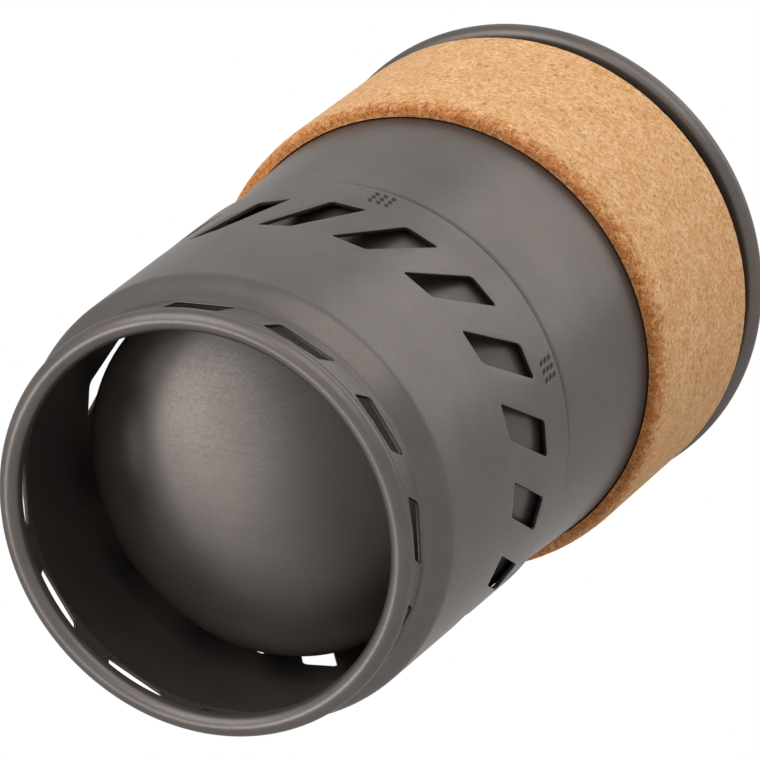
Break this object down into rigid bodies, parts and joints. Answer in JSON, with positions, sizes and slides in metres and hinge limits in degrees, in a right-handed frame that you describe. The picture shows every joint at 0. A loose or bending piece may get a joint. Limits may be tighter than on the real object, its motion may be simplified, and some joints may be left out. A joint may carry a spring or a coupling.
{
  "type": "integrated canister stove",
  "caption": "Camping pot with a slotted heat-exchanger skirt, cork grip and rolled rim, closed by a plug lid with a pour flap, and a gas burner with valve and canister collar stowed inside.",
  "frame": {"origin": "On the pot's axis, in the plane that the rolled foot stands on.", "axes": "+Z along the pot's axis from the foot to the rim; the pour flap lies towards -Y; the valve knob points towards +X."},
  "size_m": [0.1108, 0.1108, 0.1793],
  "materials": {
    "hard_anodised_aluminium": "hard anodised, satin grey",
    "agglomerated_cork": "fine agglomerated cork, sanded",
    "smoked_polypropylene": "moulded, fine satin",
    "silicone_rubber": "moulded, matt",
    "stainless_steel": "pressed and turned, plain",
    "cast_aluminium": "die cast, blasted",
    "turned_brass": "turned, plain",
    "glass_filled_nylon": "moulded, matt black"
  },
  "bodies": {
    "pot": {"heat_skirt": "hard_anodised_aluminium", "pot_body": "hard_anodised_aluminium", "cork_sleeve": "agglomerated_cork"},
    "lid": {"lid_shell": "smoked_polypropylene", "lid_gasket": "silicone_rubber", "flap_pin": "stainless_steel"},
    "pour_flap": {"pour_flap": "smoked_polypropylene"},
    "burner": {"burner_ring": "stainless_steel", "burner_screen": "stainless_steel", "burner_bowl": "cast_aluminium", "gas_diffuser": "stainless_steel", "heat_shield": "stainless_steel", "mixing_tube": "turned_brass", "burner_screw_1": "stainless_steel", "burner_screw_2": "stainless_steel", "burner_screw_3": "stainless_steel", "gas_jet": "turned_brass", "valve_body": "turned_brass", "packing_nut": "turned_brass", "canister_collar": "turned_brass", "collar_o_ring": "silicone_rubber", "opening_pin": "stainless_steel"},
    "knob": {"control_knob": "glass_filled_nylon", "valve_spindle": "stainless_steel"}
  },
  "joints": [
    {"name": "lid_lift", "type": "slide", "parent": "pot", "child": "lid", "axis": [0, 0, 1], "range_m": [0, 0.17]},
    {"name": "flap_hinge", "type": "hinge", "parent": "lid", "child": "pour_flap", "pos_m": [0, -0.02815, 0.17085], "axis": [-1, 0, 0], "range_deg": [0, 110]},
    {"name": "burner_lift", "type": "slide", "parent": "pot", "child": "burner", "axis": [0, 0, 1], "range_m": [0, 0.153]},
    {"name": "knob_turn", "type": "hinge", "parent": "burner", "child": "knob", "pos_m": [0.01665, 0, 0.09305], "axis": [1, 0, 0], "range_deg": [0, 540]}
  ],
  "couplings": [
    {"joint": "burner_lift", "follows": "lid_lift", "ratio": 0.9}
  ]
}
